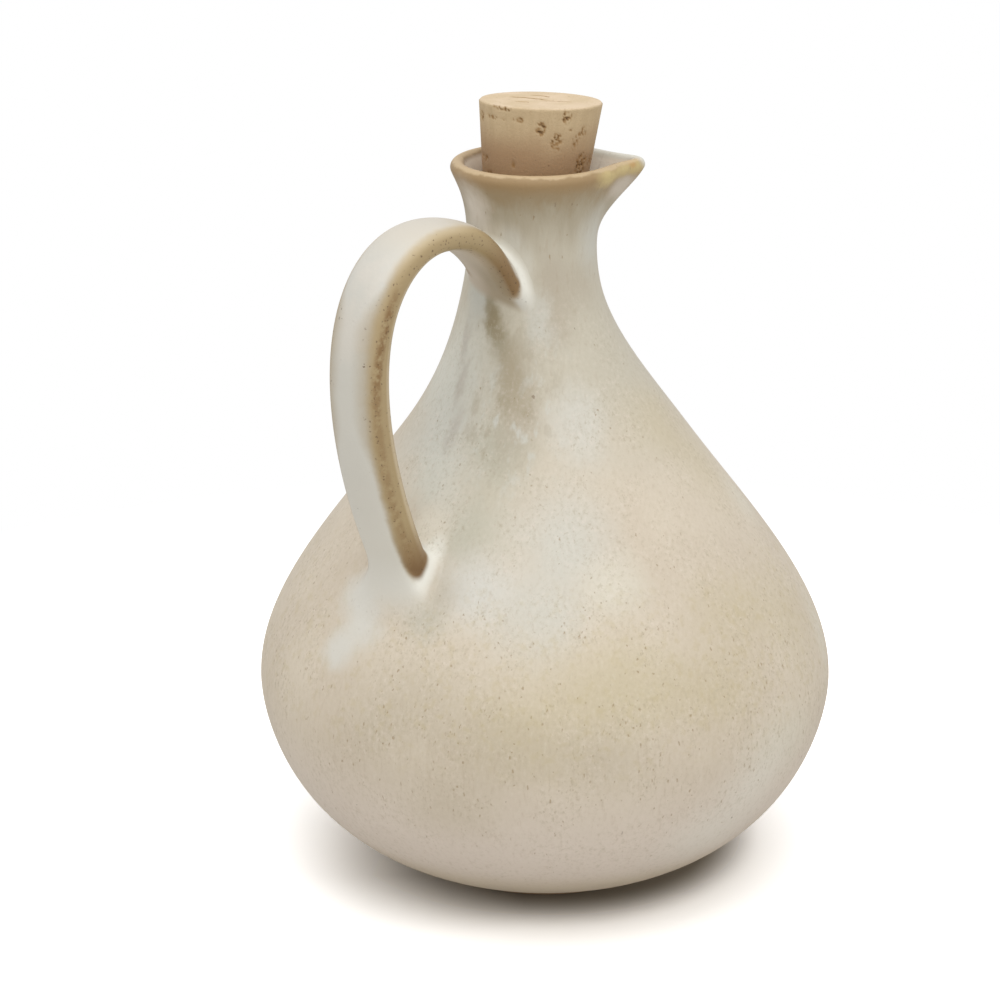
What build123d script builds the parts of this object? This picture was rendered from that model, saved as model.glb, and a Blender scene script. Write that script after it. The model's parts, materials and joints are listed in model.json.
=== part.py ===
from build123d import *
import math
import os

# A wheel-thrown stoneware cruet for oil or vinegar, with a pulled strap handle
# and a cork stopper. The origin is the centre of the foot's underside, +Z is up
# and the handle points along -X. The spout is pinched out beside the far side
# from the handle, and the neck stands a little back from the spout.

# ---- Driving dimensions, in millimetres and degrees ----

# Foot ring and floor
foot_radius = 26.5
foot_ring_width = 5.0
foot_recess = 1.8          # how deep the underside is turned out inside the ring
foot_edge = 0.6            # chamfer where the ring stands on the table
heel_radius = 28.2         # where the wall leaves the foot ring
heel_height = 2.2
heel_slope = 18.0          # how steeply the wall starts out, above level
floor_thickness = 4.6
floor_corner = (4.0, 1.0)  # how far the inside floor's edge is rounded in, and up

# Belly, and how far its outline is drawn towards each end
belly_radius = 60.0
belly_height = 41.3
belly_wall = 4.5
heel_pull = 28.0
lower_pull = 8.0
shoulder_pull = 28.0
neck_pull = 34.0

# Neck and lip
bore_radius = 9.7          # inside the waist, which is the narrowest place
neck_wall = 3.4
waist_height = 133.0
flare_height = 17.6        # from the waist up to the rim
lip_thickness = 3.0
lip_spread = 5.55         # the lip's middle stands this far outside the bore
lip_slope = 65.0           # the flare's steepness where it meets the lip
lip_flat = 15.0            # half the lip's round that is left level, as an angle
flare_pull = 9.0
lip_pull = 4.0

# Spout, and the neck's lean away from it
spout_azimuth = -43.0
spout_reach = 5.7
spout_half_width = 12.0    # the angle at which the spout has half its reach
spout_start = 14.5         # how far below the lip's middle the spout begins
neck_setback = 3.0
setback_drop = 39.0        # how far below the waist the neck begins to lean back
setback_rise = 32.0        # and the height that it takes to do so
rim_draw = 0.55            # how far the spout's pull brings the rim forward

# Handle, a flattened oval strap: (upper root, middle, lower root)
handle_widths = (14.6, 13.2, 13.2)
handle_thicknesses = (5.0, 8.0, 7.3)
upper_root_drop = 2.4      # how far the upper root stands below the waist
lower_root_height = 72.8
root_depth = 2.9           # how far the strap's ends run into the wall
handle_reach = 55.5        # from the cruet's axis to the furthest of the strap's middle line
crown_pull = (23.1, 22.0)  # how the strap is drawn out, and up, from its upper root
outer_rise = 13.4          # how far above that root its outside is drawn
lower_root_pull = (13.3, 25.9)

# Cork
cork_length = 32.0
cork_proud = 11.4          # how far its top stands above the rim
cork_taper = 0.11          # gain in radius for each millimetre of length
cork_clearance = 0.2
cork_seat = 12.0           # how far below the rim the bore holds it
cork_lean = 5.2
cork_lean_azimuth = -15.0
cork_edge = 0.4

# How many sections and points describe each shape
heel_to_belly_sections = 6
belly_to_waist_sections = 12
waist_to_lip_sections = 6
lip_step = 25.0            # the angle between the lip's sections
half_ring_points = 12
ring_crowding = 1.6        # crowds a section's points towards the spout
strap_sections = 12
reach_steps = 100          # how finely the strap's middle line is searched for its reach

# ---- Values that follow from them ----
waist_radius = bore_radius + neck_wall
rim_height = waist_height + flare_height
setback_bottom = waist_height - setback_drop
upper_root_height = waist_height - upper_root_drop
lip_middle = (bore_radius + lip_spread, rim_height - lip_thickness / 2)
spout_bottom = lip_middle[1] - spout_start
inside_floor = foot_recess + floor_thickness


def smooth_rise(height, bottom, rise):
    """0 below the bottom, 1 above bottom + rise, and an even curve between."""
    share = min(max((height - bottom) / rise, 0.0), 1.0)
    return share * share * (3 - 2 * share)


def lip_point(angle):
    """A point on the lip's half round, as (radius, height)."""
    turn = math.radians(angle)
    return (
        lip_middle[0] + lip_thickness / 2 * math.cos(turn),
        lip_middle[1] + lip_thickness / 2 * math.sin(turn),
    )


def outline_curve(start, start_angle, start_pull, end, end_angle, end_pull):
    """A cubic between two points of the outline, leaving each at its angle."""
    turn, end_turn = math.radians(start_angle), math.radians(end_angle)
    first = (start[0] + start_pull * math.cos(turn), start[1] + start_pull * math.sin(turn))
    second = (end[0] - end_pull * math.cos(end_turn), end[1] - end_pull * math.sin(end_turn))
    return Bezier(*[(radius, 0, height) for radius, height in (start, first, second, end)])


def wall_sections(curve, count, wall_start, wall_end):
    """Outer and inner points of a stretch of wall, without its last point."""
    outer, inner = [], []
    for index in range(count):
        share = index / count
        point, along = curve @ share, curve % share
        wall = wall_start + (wall_end - wall_start) * share
        outer.append((point.X, point.Z))
        inner.append((point.X - wall * along.Z, point.Z + wall * along.X))
    return outer, inner


def neck_centre(height):
    """The middle of the thrown shape at a height, in the row's X and Y."""
    back = neck_setback * smooth_rise(height, setback_bottom, setback_rise)
    forward = rim_draw * smooth_rise(height, spout_bottom, spout_start)
    turn = math.radians(spout_azimuth)
    return (forward - back) * math.cos(turn), (forward - back) * math.sin(turn)


def wall_radius(height):
    """The outside radius between two sections of the pot, at a height."""
    for below, above in zip(outer_points, outer_points[1:]):
        if below[1] <= height <= above[1]:
            share = (height - below[1]) / (above[1] - below[1])
            return below[0] + (above[0] - below[0]) * share


def ring(radius, height):
    """One level section of the pot: a circle with the spout drawn out of it."""
    reach = spout_reach * smooth_rise(height, spout_bottom, spout_start)
    middle_x, middle_y = neck_centre(height)
    points, places = [], []
    for index in range(-half_ring_points, half_ring_points):
        offset = math.copysign(180 * (abs(index) / half_ring_points) ** ring_crowding, index)
        local = radius + reach / (1 + (offset / spout_half_width) ** 2)
        turn = math.radians(spout_azimuth + offset)
        x, y = middle_x + local * math.cos(turn), middle_y + local * math.sin(turn)
        points.append((x, y, height))
        places.append(offset)
    places.append(180.0)  # the first point again, a whole turn on
    return Face(Wire([Edge.make_spline(points, periodic=True, parameters=places)]))


# ---- Outline of the thrown pot ----
heel = (heel_radius, heel_height)
belly = (belly_radius, belly_height)
waist = (waist_radius, waist_height)
lip_outside = lip_point(lip_slope - 90)
heel_to_belly = outline_curve(heel, heel_slope, heel_pull, belly, 90, lower_pull)
belly_to_waist = outline_curve(belly, 90, shoulder_pull, waist, 90, neck_pull)
waist_to_lip = outline_curve(waist, 90, flare_pull, lip_outside, lip_slope, lip_pull)

outer_points, inner_points = [], []
for curve, count, wall_start, wall_end in (
    (heel_to_belly, heel_to_belly_sections, belly_wall, belly_wall),
    (belly_to_waist, belly_to_waist_sections, belly_wall, neck_wall),
    (waist_to_lip, waist_to_lip_sections, neck_wall, lip_thickness),
):
    outer, inner = wall_sections(curve, count, wall_start, wall_end)
    outer_points += outer
    inner_points += inner

angle = lip_slope - 90
while angle < 90 - lip_flat:
    outer_points.append(lip_point(angle))
    angle += lip_step
outer_points.append(lip_point(90 - lip_flat))

angle = lip_slope + 90
while angle > 90 + lip_flat:
    inner_points.append(lip_point(angle))
    angle -= lip_step
inner_points.append(lip_point(90 + lip_flat))

# The inside stops at a level floor whose edge is rounded in.
inner_points = [point for point in inner_points if point[1] > inside_floor + floor_corner[1]]
inner_points.insert(0, (inner_points[0][0] - floor_corner[0], inside_floor))

# ---- Thrown pot ----
thrown = loft([ring(radius, height) for radius, height in outer_points])
foot = Pos(0, 0, heel_height / 2) * Cylinder(foot_radius, heel_height)
foot = chamfer(foot.faces().sort_by(Axis.Z)[0].edges(), foot_edge)
cavity = loft([ring(radius, height) for radius, height in inner_points])
mouth = extrude(ring(*inner_points[-1]), lip_thickness, dir=(0, 0, 1))
recess = Pos(0, 0, foot_recess / 2) * Cylinder(foot_radius - foot_ring_width, foot_recess)
pot = thrown + foot
stoneware_body = pot - cavity - mouth - recess

# ---- Handle ----
def pull_share(index, share):
    """How much a quartic's control point counts, at a share of the way along."""
    return math.comb(4, index) * share**index * (1 - share) ** (4 - index)


upper_root = (
    wall_radius(upper_root_height) - neck_centre(upper_root_height)[0] - root_depth,
    upper_root_height,
)
lower_root = (wall_radius(lower_root_height) - root_depth, lower_root_height)
crown = (upper_root[0] + crown_pull[0], upper_root[1] + crown_pull[1])
lower = (lower_root[0] + lower_root_pull[0], lower_root[1] + lower_root_pull[1])
# The outside is drawn out until the strap's middle line has its reach.
reaches = {0: upper_root[0], 1: crown[0], 3: lower[0], 4: lower_root[0]}
outer_reach = min(
    (handle_reach - sum(pull_share(index, share) * reach for index, reach in reaches.items()))
    / pull_share(2, share)
    for share in (step / reach_steps for step in range(1, reach_steps))
)
outside = (outer_reach, upper_root[1] + outer_rise)
strap_line = Bezier(
    *[(-reach, 0, height) for reach, height in (upper_root, crown, outside, lower, lower_root)]
)


def along_strap(sizes, share):
    """A size that has the three given values at the strap's ends and middle."""
    upper, middle, lower = sizes
    return (
        upper * (1 - share) * (1 - 2 * share)
        + middle * 4 * share * (1 - share)
        + lower * share * (2 * share - 1)
    )


strap_rings = []
for index in range(strap_sections + 1):
    share = index / strap_sections
    section_plane = Plane(strap_line @ share, x_dir=(0, 1, 0), z_dir=strap_line % share)
    width = along_strap(handle_widths, share)
    thickness = along_strap(handle_thicknesses, share)
    strap_rings.append(section_plane * Ellipse(width / 2, thickness / 2))
strap_handle = loft(strap_rings) - pot

# ---- Cork ----
seat_height = rim_height - cork_seat
lean = math.radians(cork_lean)
lean_turn = math.radians(cork_lean_azimuth)
cork_axis = Vector(
    math.sin(lean) * math.cos(lean_turn),
    math.sin(lean) * math.sin(lean_turn),
    math.cos(lean),
)
top_above_seat = (cork_seat + cork_proud) / math.cos(lean)
# The widest cone that clears the neck and the lip all the way up, at the seat
seat_radius = min(
    radius - cork_taper * (height - seat_height) - math.tan(lean) * abs(height - seat_height)
    for radius, height in inner_points
    if height > seat_height + top_above_seat - cork_length
)
seat_radius -= cork_clearance
top_radius = seat_radius + cork_taper * top_above_seat
bottom_radius = top_radius - cork_taper * cork_length
seat_plane = Plane((*neck_centre(seat_height), seat_height), z_dir=cork_axis)
cork_cone = Pos(0, 0, top_above_seat - cork_length / 2) * Cone(bottom_radius, top_radius, cork_length)
cork_stopper = seat_plane * chamfer(cork_cone.edges().filter_by(GeomType.CIRCLE), cork_edge)

# ---- One file for each piece ----
os.makedirs("parts", exist_ok=True)
pieces = {
    "stoneware_body": stoneware_body,
    "strap_handle": strap_handle,
    "cork_stopper": cork_stopper,
}
for name, piece in pieces.items():
    export_step(piece, f"parts/{name}.step")
print("cork axis", tuple(round(value, 5) for value in cork_axis), "seat radius", round(seat_radius, 3))
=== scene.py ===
import json
import math
import random

import bmesh
import bpy
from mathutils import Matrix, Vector, noise


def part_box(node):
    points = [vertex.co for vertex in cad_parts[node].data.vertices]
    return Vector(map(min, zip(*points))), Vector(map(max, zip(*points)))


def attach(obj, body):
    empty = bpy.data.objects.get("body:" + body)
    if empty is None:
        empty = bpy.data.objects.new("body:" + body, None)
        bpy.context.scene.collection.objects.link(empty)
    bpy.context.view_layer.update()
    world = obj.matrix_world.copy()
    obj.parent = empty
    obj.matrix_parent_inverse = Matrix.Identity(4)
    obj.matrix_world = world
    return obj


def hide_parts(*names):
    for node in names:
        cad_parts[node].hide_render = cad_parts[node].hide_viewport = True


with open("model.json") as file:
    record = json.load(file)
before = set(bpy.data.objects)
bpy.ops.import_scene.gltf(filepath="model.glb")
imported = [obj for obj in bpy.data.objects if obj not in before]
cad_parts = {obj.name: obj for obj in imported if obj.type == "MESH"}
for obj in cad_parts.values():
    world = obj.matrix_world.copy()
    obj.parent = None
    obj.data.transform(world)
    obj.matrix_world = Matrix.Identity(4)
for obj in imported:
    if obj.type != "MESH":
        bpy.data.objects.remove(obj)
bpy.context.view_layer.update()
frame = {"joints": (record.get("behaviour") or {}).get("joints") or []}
mm = 0.001

# ---- Table, light and camera ----
# The cruet stands on a plain white table in the soft light of a large overhead
# window, with a paler light from the side and a bright room all round it.
scene = bpy.context.scene
scene.view_settings.view_transform = "Standard"
bpy.ops.mesh.primitive_plane_add(size=1.7)
table = bpy.context.object
table.name = "white_table"


def colour(red, green, blue):
    """A colour that is written as it looks on a screen, 0 to 255, for a shader socket."""
    shares = [value / 255 for value in (red, green, blue)]
    linear = [s / 12.92 if s <= 0.04045 else ((s + 0.055) / 1.055) ** 2.4 for s in shares]
    return (*linear, 1.0)


def add_node(tree, kind, inputs=None, **settings):
    """Adds a shader node. An input is a plain value, or another node's output to link."""
    node = tree.nodes.new("ShaderNode" + kind)
    for name, value in settings.items():
        setattr(node, name, value)
    for name, value in (inputs or {}).items():
        if isinstance(value, bpy.types.NodeSocket):
            tree.links.new(value, node.inputs[name])
        else:
            node.inputs[name].default_value = value
    return node


def tree_of(values):
    """The tree that the first node's output among some values is in."""
    return next(value.id_data for value in values if isinstance(value, bpy.types.NodeSocket))


def math_node(operation, *values):
    """Arithmetic on outputs and plain numbers."""
    node = add_node(tree_of(values), "Math", dict(enumerate(values)), operation=operation)
    return node.outputs[0]


def times(*values):
    """Values multiplied together."""
    product = values[0]
    for value in values[1:]:
        product = math_node("MULTIPLY", product, value)
    return product


def times_plus(value, factor, extra):
    """A value times a factor, plus an extra."""
    return math_node("MULTIPLY_ADD", value, factor, extra)


def vector_node(operation, *vectors, **inputs):
    """Arithmetic on vectors."""
    inputs.update(enumerate(vectors))
    node = add_node(tree_of(vectors), "VectorMath", inputs, operation=operation)
    return node.outputs["Value" if operation in ("LENGTH", "DISTANCE", "DOT_PRODUCT") else "Vector"]


def fade(value, start, end, curve="SMOOTHSTEP"):
    """0 at the start, 1 at the end, and an even curve between, or a straight line."""
    limits = {"Value": value, "From Min": start, "From Max": end}
    return add_node(value.id_data, "MapRange", limits, interpolation_type=curve).outputs["Result"]


def lay_over(under, over, mask, most=1.0):
    """One colour laid over another where the mask is 1, hiding at most a share of it."""
    if most < 1.0:
        mask = times(mask, most)
    inputs = {"Factor": mask, "A": under, "B": over}
    return add_node(mask.id_data, "Mix", inputs, data_type="RGBA").outputs["Result"]


def new_material(name):
    """A material with only its output node, and the tree to build it in."""
    material = bpy.data.materials.new(name)
    material.use_nodes = True
    material.node_tree.nodes.clear()
    return material, material.node_tree


def object_place(tree):
    """A surface's place on its object, in metres."""
    return add_node(tree, "TexCoord").outputs["Object"]


table_white, tree = new_material("white table")
seen = add_node(tree, "LightPath").outputs["Is Camera Ray"]
place = object_place(tree)
# Deep in under the heel the light is low, and away from the pot the white top glares. Both are
# partly painted into the table's colour that the camera alone sees: a painted shadow fading out
# to a painted glare. The painted shadow lies a little behind the heel. On the spout's side it is
# tight and dark, and on the other it is soft and wide, and softest at the back
shade_middle = (5.4 * mm, 4.5 * mm, 0)
off_spout = vector_node("DOT_PRODUCT", place, (-0.643, 0.766, 0))
soft_side = fade(off_spout, 4 * mm, 36 * mm, "LINEAR")
spout_side = fade(off_spout, 0, -31 * mm, "LINEAR")
backward = vector_node("DOT_PRODUCT", place, (0.766, 0.643, 0))
soft_back = times(fade(backward, -17 * mm, 2 * mm, "LINEAR"), soft_side)
shade_start = times_plus(soft_side, -17 * mm, 32 * mm)
shade_start = times_plus(spout_side, 4 * mm, shade_start)
shade_start = times_plus(soft_back, -28 * mm, shade_start)
shade_end = times_plus(soft_side, 15.5 * mm, 49.6 * mm)
shade_end = times_plus(spout_side, -1.5 * mm, shade_end)
glare = fade(vector_node("DISTANCE", place, shade_middle), shade_start, shade_end)
deep_shade, glaring_white = (0.31, 0.275, 0.225, 1), (1.5, 1.5, 1.49, 1)
top_colour = lay_over(colour(212, 209, 203), lay_over(deep_shade, glaring_white, glare), seen)
matt = add_node(tree, "BsdfDiffuse", {"Color": top_colour})
# Far from the pot the top is plain white
far_seen = times(fade(vector_node("LENGTH", place), 0.12, 0.25, "LINEAR"), seen)
plain = add_node(tree, "Emission", {"Color": (1, 1, 1, 1), "Strength": 1.0})
top = add_node(tree, "MixShader", {0: far_seen, 1: matt.outputs[0], 2: plain.outputs[0]})
add_node(tree, "OutputMaterial", {"Surface": top.outputs[0]})
table.data.materials.append(table_white)

room = bpy.data.worlds.new("bright room")
room.use_nodes = True
scene.world = room
tree = room.node_tree
tree.nodes.clear()
seen = add_node(tree, "LightPath").outputs["Is Camera Ray"]
room_light = add_node(tree, "Background", {"Color": colour(250, 250, 251), "Strength": 0.795})
white = add_node(tree, "Background", {"Color": (1, 1, 1, 1), "Strength": 1.0})
shown = add_node(tree, "MixShader", {0: seen, 1: room_light.outputs[0], 2: white.outputs[0]})
add_node(tree, "OutputWorld", {"Surface": shown.outputs[0]})

cruet_middle = Vector((0, 0, 80 * mm))


def add_window(name, place, width, height, watts):
    """A rectangular soft light that faces the cruet's middle."""
    bpy.ops.object.light_add(type="AREA", location=place)
    window = bpy.context.object
    window.name = name
    window.data.shape = "RECTANGLE"
    window.data.size, window.data.size_y = width, height
    window.data.energy = watts
    window.rotation_euler = (cruet_middle - window.location).to_track_quat("-Z", "Y").to_euler()


add_window("overhead_window", (-0.25, -0.15, 1.00), 1.2, 1.2, 5.2)
add_window("side_window", (-0.40, -0.95, 0.50), 0.9, 0.9, 1.05)

bpy.ops.object.camera_add(location=(-0.4596, -0.3857, 0.28405))
camera = bpy.context.object
aim = Vector((-6.07, 7.23, 78.17)) * mm
camera.rotation_euler = (aim - camera.location).to_track_quat("-Z", "Y").to_euler()
camera.data.lens = 109.7
scene.camera = camera

# ---- Thrown pot ----
# The bottle is thrown from a speckled buff stoneware in one piece: foot, teardrop
# belly, narrow neck and flared lip. While wet its lip is pinched out into a spout,
# which draws the neck a little back. It is dipped in a satin white glaze.
pot_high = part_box("stoneware_body")[1]
belly_radius, rim_height = pot_high.x, pot_high.z
recess_radius, recess_depth = 21.5 * mm, 1.8 * mm
# The foot ring's section, as radius and height in millimetres, from the recess to the heel
foot_section = (
    (21.3, 1.6), (21.6, 0.5), (22.3, 0), (24, 0), (25.7, 0), (26.4, 0.5), (26.6, 1.3), (27.2, 1.9),
)
heel = (28.2 * mm, 2.2 * mm)
belly = (belly_radius, 41.3 * mm)
waist = (13.1 * mm, 133 * mm)
belly_wall, neck_wall, lip_wall, floor_wall = 4.5 * mm, 3.4 * mm, 3.0 * mm, 4.6 * mm
lip_middle = (15.25 * mm, rim_height - lip_wall / 2)
lip_slope, lip_step = 65, 20  # degrees
pot_spokes = 160

spout_azimuth, spout_half_width = -43, 12  # degrees
spout_reach, spout_start = 5.9 * mm, 14.5 * mm  # the start is how far it is below the rim
neck_setback, setback_bottom, setback_rise = 3.0 * mm, 94 * mm, 32 * mm
rim_draw = 0.3 * mm  # the spout draws the rim this much forward


def outline(start, start_angle, start_pull, end, end_angle, end_pull, steps):
    """Points of a cubic without its last one, each with its direction and its share of the way."""
    turn, end_turn = math.radians(start_angle), math.radians(end_angle)
    a, d = Vector(start), Vector(end)
    b = a + start_pull * Vector((math.cos(turn), math.sin(turn)))
    c = d - end_pull * Vector((math.cos(end_turn), math.sin(end_turn)))
    points = []
    for index in range(steps):
        t = index / steps
        s = 1 - t
        place = s**3 * a + 3 * s * s * t * b + 3 * s * t * t * c + t**3 * d
        along = s * s * (b - a) + 2 * s * t * (c - b) + t * t * (d - c)
        points.append((place, along.normalized(), t))
    return points


def lip_point(angle):
    """A point on the lip's round, as (radius, height)."""
    turn = math.radians(angle)
    half = lip_wall / 2
    return Vector((lip_middle[0] + half * math.cos(turn), lip_middle[1] + half * math.sin(turn)))


def rise(height, bottom, depth):
    """0 below the bottom, 1 above bottom + depth, and an even curve between."""
    share = min(max((height - bottom) / depth, 0.0), 1.0)
    return share * share * (3 - 2 * share)


def neck_centre(height):
    """The middle of the thrown shape at a height, as (x, y)."""
    forward = rim_draw * rise(height, lip_middle[1] - spout_start, spout_start)
    back = neck_setback * rise(height, setback_bottom, setback_rise)
    turn = math.radians(spout_azimuth)
    return (forward - back) * Vector((math.cos(turn), math.sin(turn)))


def pot_radius(radius, height, azimuth):
    """The radius at an azimuth, in degrees, once the spout is drawn out of a round section."""
    offset = (azimuth - spout_azimuth + 180) % 360 - 180
    reach = spout_reach * rise(height, lip_middle[1] - spout_start, spout_start)
    return radius + reach / (1 + (offset / spout_half_width) ** 2)


def pot_ring(radius, height):
    """One level ring of the pot, as places for its spokes."""
    middle = neck_centre(height)
    ring = []
    for spoke in range(pot_spokes):
        azimuth = 360 * spoke / pot_spokes
        local = pot_radius(radius, height, azimuth)
        turn = math.radians(azimuth)
        ring.append(Vector((middle.x + local * math.cos(turn), middle.y + local * math.sin(turn), height)))
    return ring


def raise_rings(name, rings, pole_start, pole_end):
    """Adds a disc, extrudes its rim ring by ring and closes it, and marks every point's ring."""
    bpy.ops.object.select_all(action="DESELECT")
    bpy.ops.mesh.primitive_circle_add(vertices=len(rings[0]), fill_type="TRIFAN")
    piece = bpy.context.object
    piece.name = name
    bpy.ops.object.mode_set(mode="EDIT")
    mesh = bmesh.from_edit_mesh(piece.data)
    mesh.verts.layers.int.new("place")
    mesh.verts.layers.int.new("ring")
    place, ring_number = mesh.verts.layers.int["place"], mesh.verts.layers.int["ring"]
    pole = next(vertex for vertex in mesh.verts if len(vertex.link_edges) == len(rings[0]))
    rim = sorted(
        (vertex for vertex in mesh.verts if vertex is not pole),
        key=lambda vertex: math.atan2(vertex.co.y, vertex.co.x) % (2 * math.pi),
    )
    pole.co = pole_start
    for vertex in mesh.verts:
        vertex.select = vertex is not pole
    for index, vertex in enumerate(rim):
        vertex[place], vertex[ring_number] = index, 0
        vertex.co = rings[0][index]
    mesh.select_mode = {"VERT"}
    mesh.select_flush_mode()
    for number, ring in enumerate(rings[1:], 1):
        bmesh.update_edit_mesh(piece.data)
        bpy.ops.mesh.extrude_edges_move()
        mesh = bmesh.from_edit_mesh(piece.data)
        place, ring_number = mesh.verts.layers.int["place"], mesh.verts.layers.int["ring"]
        for vertex in mesh.verts:
            if vertex.select:
                vertex.co = ring[vertex[place]]
                vertex[ring_number] = number
    bpy.ops.mesh.extrude_edges_move()
    bpy.ops.mesh.merge(type="CENTER")
    mesh = bmesh.from_edit_mesh(piece.data)
    for vertex in mesh.verts:
        if vertex.select:
            vertex.co = pole_end
    bmesh.update_edit_mesh(piece.data)
    bpy.ops.mesh.select_all(action="SELECT")
    bpy.ops.mesh.normals_make_consistent(inside=False)
    bpy.ops.object.mode_set(mode="OBJECT")
    return piece


def mark_rings(piece, name, value):
    """Gives the mesh a number at each point: value(ring, spoke)."""
    places = [item.value for item in piece.data.attributes["place"].data]
    ring_numbers = [item.value for item in piece.data.attributes["ring"].data]
    marks = piece.data.attributes.new(name, "FLOAT", "POINT")
    for item, ring, spoke in zip(marks.data, ring_numbers, places):
        item.value = value(ring, spoke)


# The outline's stretches: where each starts, its slope there and its pull, the same for its
# end, and its steps, then its wall at the start and at the end
lip_outside = lip_point(lip_slope - 90)
stretches = (
    (outline(heel, 18, 28 * mm, belly, 90, 8 * mm, 16), belly_wall, belly_wall),
    (outline(belly, 90, 28 * mm, waist, 90, 34 * mm, 34), belly_wall, neck_wall),
    (outline(waist, 90, 9 * mm, lip_outside, lip_slope, 4 * mm, 10), neck_wall, lip_wall),
)
outside, inside = [], []
for points, wall_start, wall_end in stretches:
    for point, along, share in points:
        wall = wall_start + (wall_end - wall_start) * share
        outside.append(point)
        inside.append(point + wall * Vector((-along.y, along.x)))

floor_height = recess_depth + floor_wall
inside = [point for point in inside if point.y > floor_height + 1 * mm]
floor_edge = inside[0].x
underside = [(share * recess_radius, recess_depth) for share in (0.25, 0.5, 0.75, 0.93)]
underside += [(radius * mm, height * mm) for radius, height in foot_section]
lip = [lip_point(angle) for angle in range(lip_slope - 90, lip_slope + 91, lip_step)]
floor = [(floor_edge - 1.5 * mm, floor_height + 0.3 * mm)]  # the floor's corner is soft
floor += [(floor_edge * share, floor_height) for share in (0.85, 0.6, 0.35, 0.15)]
profile = underside + outside + lip + inside[::-1] + floor
pot_rings = [pot_ring(*point) for point in profile]
pot = raise_rings("glazed_pot", pot_rings, (0, 0, recess_depth), (0, 0, floor_height))
first_inside = len(underside) + len(outside) + len(lip) - 4  # just past the lip's crest
mark_rings(pot, "inside", lambda ring, spoke: float(ring >= first_inside))
smoothing = pot.modifiers.new("thrown smooth", "SUBSURF")
smoothing.levels = smoothing.render_levels = 1
smoothing.use_limit_surface = False
bpy.ops.object.modifier_apply(modifier=smoothing.name)
bpy.ops.object.shade_smooth()

# The glaze is one coat over the whole pot: pinkish tan where it is thin, ochre where
# the clay's iron comes through, and grey to blue white where it ran thick.


def new_group(name, inputs, outputs):
    """A shader group with its named sockets, as (group, its way in, its way out)."""
    group = bpy.data.node_groups.new(name, "ShaderNodeTree")
    for side, sockets in (("INPUT", inputs), ("OUTPUT", outputs)):
        for label, kind in sockets.items():
            group.interface.new_socket(label, in_out=side, socket_type="NodeSocket" + kind)
    return group, group.nodes.new("NodeGroupInput").outputs, group.nodes.new("NodeGroupOutput").inputs


def noise_at(place, size, detail=2.0, roughness=0.5, output="Fac"):
    """A noise whose features are about as many millimetres across as its size."""
    inputs = {"Vector": place, "Scale": 1 / size, "Detail": detail, "Roughness": roughness}
    return add_node(place.id_data, "TexNoise", inputs).outputs[output]


def noise_push(place, size, detail=2.0, roughness=0.5):
    """A noise as a push in any direction, of up to half a millimetre each way."""
    return vector_node("SUBTRACT", noise_at(place, size, detail, roughness, "Color"), (0.5, 0.5, 0.5))


def squeezed(place, share):
    """A place with its height scaled down, so that a pattern on it runs upright."""
    return vector_node("MULTIPLY", place, (1.0, 1.0, share))


def height_of(place):
    """A place's height."""
    return add_node(place.id_data, "SeparateXYZ", {"Vector": place}).outputs["Z"]


def use_group(group, **inputs):
    """Places a shader group, and gives its outputs."""
    return add_node(tree_of(inputs.values()), "Group", inputs, node_tree=group).outputs


# A soft-edged spot of colour, as wide as its reach in each direction
spot, entry, leave = new_group(
    "glaze spot",
    {"Place": "Vector", "Centre": "Vector", "Reach": "Vector", "Edge": "Float", "Share": "Float"},
    {"Mask": "Float"},
)
offset = vector_node("SUBTRACT", entry["Place"], entry["Centre"])
distance = vector_node("LENGTH", vector_node("DIVIDE", offset, entry["Reach"]))
inner_edge = math_node("SUBTRACT", 1.0, entry["Edge"])
mask = times(fade(distance, 1.0, inner_edge), entry["Share"])
spot.links.new(mask, leave["Mask"])

# Grains of iron that have bled through: round dots of many sizes, scattered
specks, entry, leave = new_group(
    "iron specks",
    {"Place": "Vector", "Spacing": "Float", "Share": "Float", "Width": "Float"},
    {"Mask": "Float"},
)
per_mm = math_node("DIVIDE", 1.0, entry["Spacing"])
wobble = vector_node("SCALE", noise_push(entry["Place"], 0.5), Scale=0.7)
uneven = vector_node("ADD", entry["Place"], wobble)
grains = add_node(specks, "TexVoronoi", {"Vector": uneven, "Scale": per_mm})
chance = add_node(specks, "SeparateColor", {"Color": grains.outputs["Color"]})
there = math_node("LESS_THAN", chance.outputs["Red"], entry["Share"])
grain_size = times(times_plus(chance.outputs["Green"], 0.7, 0.3), entry["Width"])
near = math_node("DIVIDE", grains.outputs["Distance"], grain_size)
mask = times(fade(near, 1.0, 0.4), there)
specks.links.new(mask, leave["Mask"])

# A surface's place in millimetres, and the same place pushed about so that edges run ragged
ragged, entry, leave = new_group(
    "ragged place",
    {"Object": "Vector"},
    {"Place": "Vector", "Ragged": "Vector", "Nudged": "Vector", "Streaky": "Vector"},
)
place = vector_node("SCALE", entry["Object"], Scale=1 / mm)
broad = noise_push(place, 17.0, 1.0)
small = noise_push(place, 3.6, 3.0, 0.6)
nudged = vector_node("ADD", place, vector_node("SCALE", small, Scale=3.5))
pushed = vector_node("ADD", nudged, vector_node("SCALE", broad, Scale=9.0))
ragged.links.new(place, leave["Place"])
ragged.links.new(nudged, leave["Nudged"])
ragged.links.new(pushed, leave["Ragged"])
ragged.links.new(squeezed(place, 0.22), leave["Streaky"])

# The pot's own coat. The strap's joins use it too, so the two meet without a line
coat, entry, leave = new_group(
    "dipped coat",
    {"Object": "Vector", "Inside": "Float"},
    {"Colour": "Color", "Roughness": "Float", "Height": "Float"},
)
places = use_group(ragged, Object=entry["Object"])
place, pushed, nudged, streaky = places["Place"], places["Ragged"], places["Nudged"], places["Streaky"]
height, pushed_height, nudged_height = height_of(place), height_of(pushed), height_of(nudged)

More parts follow.
